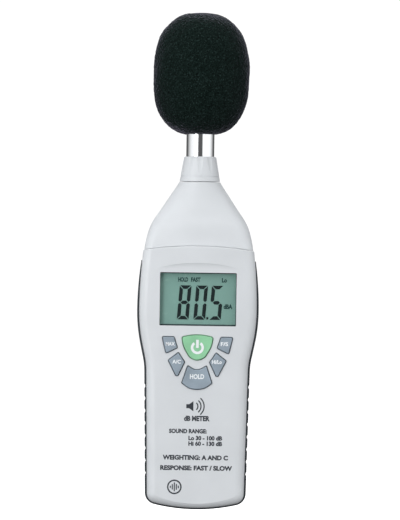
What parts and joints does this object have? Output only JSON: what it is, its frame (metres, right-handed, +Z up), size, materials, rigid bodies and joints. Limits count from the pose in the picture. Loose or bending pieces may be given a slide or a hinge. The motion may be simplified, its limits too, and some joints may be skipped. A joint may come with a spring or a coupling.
{
  "type": "sound level meter",
  "caption": "Hand-held sound level meter: waisted grey case, rubber side grip, display, fan of keys, tapered nose and foam-covered tube microphone.",
  "frame": {"origin": "centre of the bounding box at the bottom of the rubber grip; the microphone axis is the vertical line through it", "axes": "+Z up along the microphone axis, -Y out of the display face, +Y out of the back where the tripod thread is, +X to the viewer's right when the display is read"},
  "size_m": [0.055, 0.0436, 0.2249],
  "materials": {
    "shell_plastic": "moulded light grey, satin",
    "grip_rubber": "matt dark grey, soft",
    "screen_foam": "open-cell foam, very matt",
    "tube_chrome": "polished plating",
    "grid_metal": "satin",
    "capsule_metal": "satin",
    "seat_plastic": "black, matt",
    "key_green": "silicone, satin",
    "key_grey": "silicone, satin",
    "mat_rubber": "silicone, matt",
    "window_clear": "clear acrylic, polished",
    "display_glass": "liquid crystal glass, grey-green",
    "frame_plastic": "black, matt",
    "reflector_plastic": "white, smooth",
    "strip_rubber": "pink silicone with dark core",
    "board_laminate": "green solder resist, semi-gloss",
    "chip_resin": "moulded black resin",
    "crystal_can": "drawn steel can",
    "capacitor_sleeve": "dark blue sleeve",
    "trimmer_blue": "moulded blue",
    "trimmer_white": "off-white nylon",
    "screw_steel": "zinc plated",
    "insert_brass": "turned",
    "nut_metal": "turned, nickel plated",
    "battery_jacket": "lacquered steel jacket",
    "snap_vinyl": "black vinyl",
    "pad_sponge": "soft sponge",
    "lead_red": "red insulation",
    "lead_black": "black insulation",
    "lead_white": "white insulation",
    "label_film": "silver-grey printed film"
  },
  "bodies": {
    "meter_body": {"front_case": "shell_plastic", "rear_case": "shell_plastic", "nose_shell": "shell_plastic", "mic_collar": "shell_plastic", "side_grip": "grip_rubber", "mic_tube": "tube_chrome", "mic_grid": "grid_metal", "mic_capsule": "capsule_metal", "capsule_seat": "seat_plastic", "tube_nut": "nut_metal", "key_mat": "mat_rubber", "display_window": "window_clear", "display_glass": "display_glass", "display_frame": "frame_plastic", "display_reflector": "reflector_plastic", "contact_strip": "strip_rubber", "main_board": "board_laminate", "meter_chip": "chip_resin", "filter_chip": "chip_resin", "preamp_chip": "chip_resin", "clock_crystal": "crystal_can", "supply_capacitor": "capacitor_sleeve", "filter_capacitor": "capacitor_sleeve", "output_capacitor": "capacitor_sleeve", "trimmer_body": "trimmer_blue", "case_screw_top_left": "screw_steel", "case_screw_top_right": "screw_steel", "case_screw_foot_left": "screw_steel", "case_screw_foot_right": "screw_steel", "board_screw_left": "screw_steel", "board_screw_right": "screw_steel", "tripod_insert": "insert_brass", "battery": "battery_jacket", "battery_snap": "snap_vinyl", "battery_pad": "pad_sponge", "battery_lead_red": "lead_red", "battery_lead_black": "lead_black", "mic_lead_signal": "lead_white", "mic_lead_ground": "lead_black", "rear_label": "label_film"},
    "key_power": {"key_power": "key_green"},
    "key_max": {"key_max": "key_grey"},
    "key_response": {"key_response": "key_grey"},
    "key_weighting": {"key_weighting": "key_grey"},
    "key_range": {"key_range": "key_grey"},
    "key_hold": {"key_hold": "key_grey"},
    "windscreen_body": {"windscreen": "screen_foam"},
    "cover_body": {"battery_cover": "shell_plastic"},
    "trimmer_shaft": {"trimmer_rotor": "trimmer_white"}
  },
  "joints": [
    {"name": "power_press", "type": "slide", "parent": "meter_body", "child": "key_power", "axis": [0, 1, 0], "range_m": [0, 0.001], "stiffness_N_per_m": 1500},
    {"name": "max_press", "type": "slide", "parent": "meter_body", "child": "key_max", "axis": [0, 1, 0], "range_m": [0, 0.001], "stiffness_N_per_m": 1500},
    {"name": "response_press", "type": "slide", "parent": "meter_body", "child": "key_response", "axis": [0, 1, 0], "range_m": [0, 0.001], "stiffness_N_per_m": 1500},
    {"name": "weighting_press", "type": "slide", "parent": "meter_body", "child": "key_weighting", "axis": [0, 1, 0], "range_m": [0, 0.001], "stiffness_N_per_m": 1500},
    {"name": "range_press", "type": "slide", "parent": "meter_body", "child": "key_range", "axis": [0, 1, 0], "range_m": [0, 0.001], "stiffness_N_per_m": 1500},
    {"name": "hold_press", "type": "slide", "parent": "meter_body", "child": "key_hold", "axis": [0, 1, 0], "range_m": [0, 0.001], "stiffness_N_per_m": 1500},
    {"name": "windscreen_pull", "type": "slide", "parent": "meter_body", "child": "windscreen_body", "axis": [0, 0, 1], "range_m": [0, 0.045]},
    {"name": "cover_slide", "type": "slide", "parent": "meter_body", "child": "cover_body", "axis": [0, 0, -1], "range_m": [0, 0.06]},
    {"name": "trimmer_turn", "type": "hinge", "parent": "meter_body", "child": "trimmer_shaft", "pos_m": [0.012, -0.001, 0.088], "axis": [0, 1, 0], "range_deg": [-135, 135]}
  ]
}
